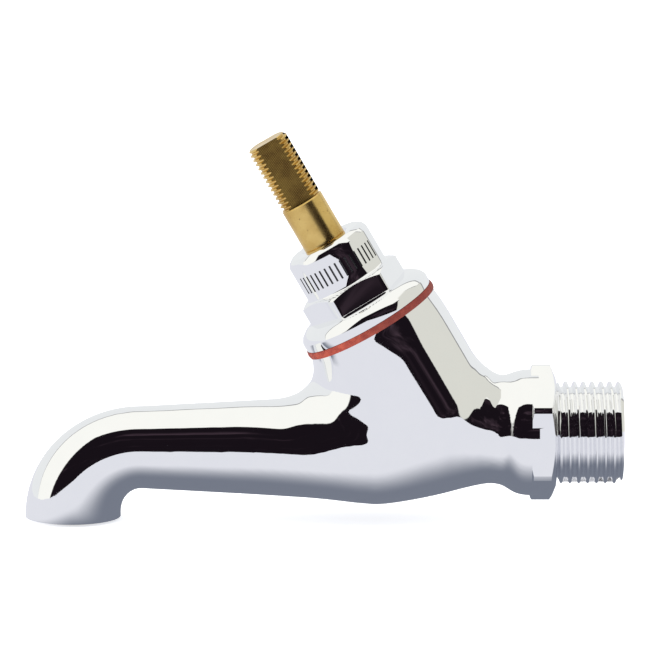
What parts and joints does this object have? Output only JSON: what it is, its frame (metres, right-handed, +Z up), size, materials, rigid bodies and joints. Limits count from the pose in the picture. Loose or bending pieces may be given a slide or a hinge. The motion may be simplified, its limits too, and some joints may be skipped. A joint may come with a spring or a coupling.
{
  "type": "hose bib",
  "caption": "Chromed bib tap with a long spout, raked headwork, bare flatted spindle and a G 1/2 male inlet.",
  "frame": {"origin": "on the inlet axis, at the shoulder between the inlet thread and the hexagon", "axes": "+X out of the inlet thread into the wall, +Z up, spout towards -X"},
  "size_m": [0.1226, 0.0294, 0.0799],
  "materials": {
    "chrome": "polished chrome plate on brass",
    "brass": "turned, bare",
    "red_fibre": "matt vulcanised fibre",
    "black_rubber": "moulded nitrile"
  },
  "bodies": {
    "root": {"body": "chrome", "body_washer": "red_fibre", "bonnet": "chrome"},
    "valve": {"jumper_valve": "brass", "jumper_washer": "black_rubber", "jumper_nut": "brass"},
    "spindle": {"spindle": "brass", "spindle_o_rings": "black_rubber"}
  },
  "joints": [
    {"name": "valve_lift", "type": "slide", "parent": "root", "child": "valve", "axis": [-0.5, 0, 0.866], "range_m": [0, 0.00635]},
    {"name": "spindle_turn", "type": "hinge", "parent": "valve", "child": "spindle", "pos_m": [-0.03768, 0, 0.023], "axis": [-0.5, 0, 0.866], "range_deg": [0, 1260]}
  ],
  "couplings": [
    {"joint": "spindle_turn", "follows": "valve_lift", "rad_per_m": 3463.7}
  ]
}
